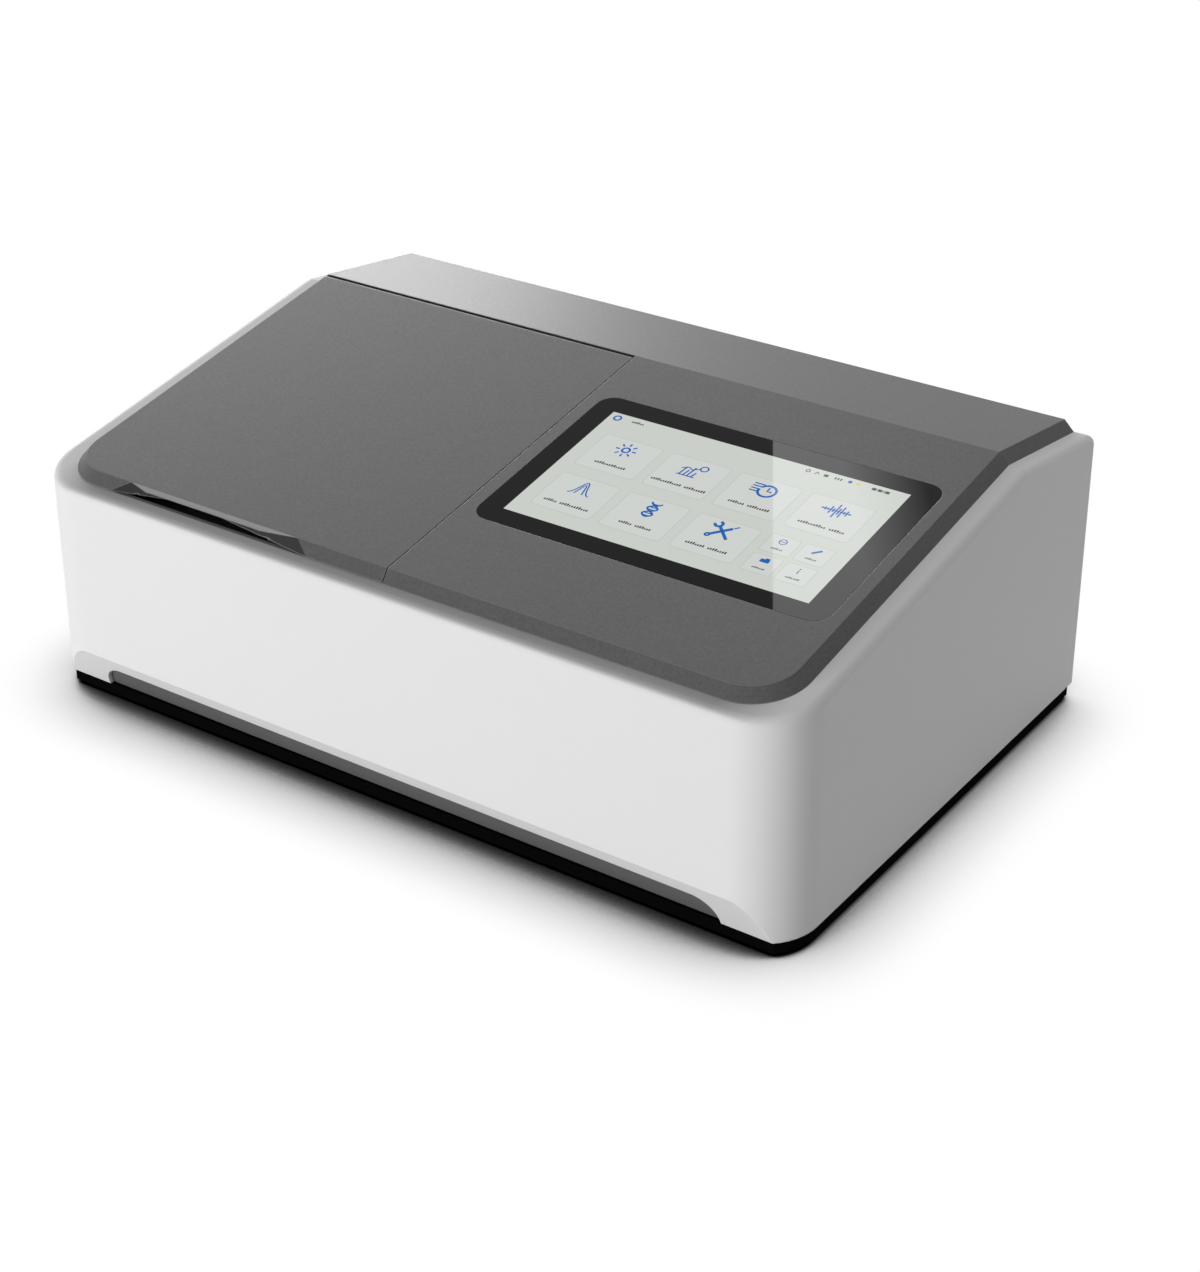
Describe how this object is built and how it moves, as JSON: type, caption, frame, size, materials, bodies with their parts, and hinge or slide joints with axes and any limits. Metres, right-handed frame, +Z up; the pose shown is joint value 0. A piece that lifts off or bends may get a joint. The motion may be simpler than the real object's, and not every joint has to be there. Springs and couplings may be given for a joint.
{
  "type": "double beam spectrophotometer",
  "caption": "Bench instrument with a white moulded casing, a dark sloping cover with a flush touch display, and a hinged sample lid over a two beam cuvette compartment.",
  "frame": {"origin": "on the bench top under the middle of the casing", "axes": "+Z up, +X to the right of someone facing the front, +Y to the back"},
  "size_m": [0.6, 0.396, 0.2218],
  "materials": {
    "white_moulding": "satin moulded plastic",
    "dark_moulding": "fine grained moulded plastic",
    "black_plastic": "matt moulded plastic",
    "black_sheet": "powder coated sheet",
    "black_glass": "cover glass",
    "display": "lit display",
    "zinc_sheet": "zinc plated sheet",
    "steel": "turned steel",
    "black_anodised": "black anodised",
    "cast_alloy": "cast and milled",
    "bronze": "turned bronze",
    "mirror_coat": "front coated mirror",
    "clear_quartz": "polished quartz",
    "filter_glass": "coloured glass",
    "rubber": "moulded rubber",
    "foam": "closed cell foam",
    "circuit_board": "lacquered board",
    "magnet": "nickel plated"
  },
  "bodies": {
    "root": {"casing_shell": "white_moulding", "base_pan": "black_sheet", "front_bar": "dark_moulding", "rubber_feet": "rubber", "pan_screws": "steel", "top_cover": "dark_moulding", "touch_glass": "black_glass", "display_panel": "display", "display_tray": "zinc_sheet", "display_board": "circuit_board", "hinge_brackets": "steel", "hinge_pins": "steel", "lid_sensor": "black_plastic", "compartment_deck": "black_plastic", "compartment_tub": "black_anodised", "compartment_gasket": "foam", "quartz_windows": "clear_quartz", "cell_carrier": "black_anodised", "sample_cell_holder": "black_anodised", "reference_cell_holder": "black_anodised", "thumb_screws": "steel", "optical_bench": "cast_alloy", "bench_posts": "rubber", "mono_housing": "black_anodised", "mono_cover": "black_sheet", "mono_slits": "black_anodised", "mono_mirrors": "mirror_coat", "exit_mirror": "mirror_coat", "drive_bearings": "cast_alloy", "guide_rod": "steel", "scan_motor": "black_sheet", "wheel_motor": "zinc_sheet", "beam_mirrors": "mirror_coat", "detectors": "black_anodised", "preamp_board": "circuit_board", "lamp_house": "zinc_sheet", "lamp_house_cover": "zinc_sheet", "lamps": "clear_quartz", "source_motor": "zinc_sheet", "main_board": "circuit_board", "data_ports": "zinc_sheet", "power_supply": "zinc_sheet", "rear_panel": "black_sheet", "panel_screws": "steel", "fan_frame": "black_plastic", "fan_guard": "steel", "power_inlet": "black_plastic", "switch_housing": "black_plastic"},
    "lid": {"sample_lid": "dark_moulding", "lid_liner": "black_plastic", "lid_magnet": "magnet"},
    "scan_screw": {"lead_screw": "steel"},
    "scan_nut": {"drive_nut": "bronze"},
    "grating_arm": {"grating_table": "cast_alloy", "grating": "mirror_coat"},
    "filter_disc": {"filter_wheel": "black_anodised", "order_filters": "filter_glass"},
    "lamp_mirror": {"source_mirror": "mirror_coat"},
    "fan": {"fan_rotor": "black_plastic"},
    "rocker": {"power_rocker": "black_plastic"}
  },
  "joints": [
    {"name": "lid_hinge", "type": "hinge", "parent": "root", "child": "lid", "pos_m": [-0.1397, 0.09057, 0.21759], "axis": [-1, 0, 0], "range_deg": [0, 80]},
    {"name": "scan_screw_turn", "type": "hinge", "parent": "root", "child": "scan_screw", "pos_m": [-0.05, 0.052, 0.062], "axis": [0, 1, 0], "range_deg": [-2702, 2702]},
    {"name": "scan_nut_slide", "type": "slide", "parent": "root", "child": "scan_nut", "axis": [0, 1, 0], "range_m": [-0.015, 0.015]},
    {"name": "grating_turn", "type": "hinge", "parent": "root", "child": "grating_arm", "pos_m": [0.01, 0.105, 0.108], "axis": [0, 0, 1], "range_deg": [-14.6, 14.6]},
    {"name": "filter_wheel_spin", "type": "hinge", "parent": "root", "child": "filter_disc", "pos_m": [0.062, 0.02, 0.108], "axis": [0, 1, 0], "continuous": true},
    {"name": "lamp_mirror_turn", "type": "hinge", "parent": "root", "child": "lamp_mirror", "pos_m": [0.118, 0.13, 0.108], "axis": [0, 0, 1], "range_deg": [0, 90]},
    {"name": "fan_spin", "type": "hinge", "parent": "root", "child": "fan", "pos_m": [0.236, 0.1935, 0.1], "axis": [0, 1, 0], "continuous": true},
    {"name": "power_rocker_tilt", "type": "hinge", "parent": "root", "child": "rocker", "pos_m": [0.171, 0.1915, 0.092], "axis": [-1, 0, 0], "range_deg": [0, 14]}
  ],
  "couplings": [
    {"joint": "scan_screw_turn", "follows": "scan_nut_slide", "rad_per_m": 3141.6},
    {"joint": "grating_turn", "follows": "scan_nut_slide", "rad_per_m": -16.667}
  ]
}
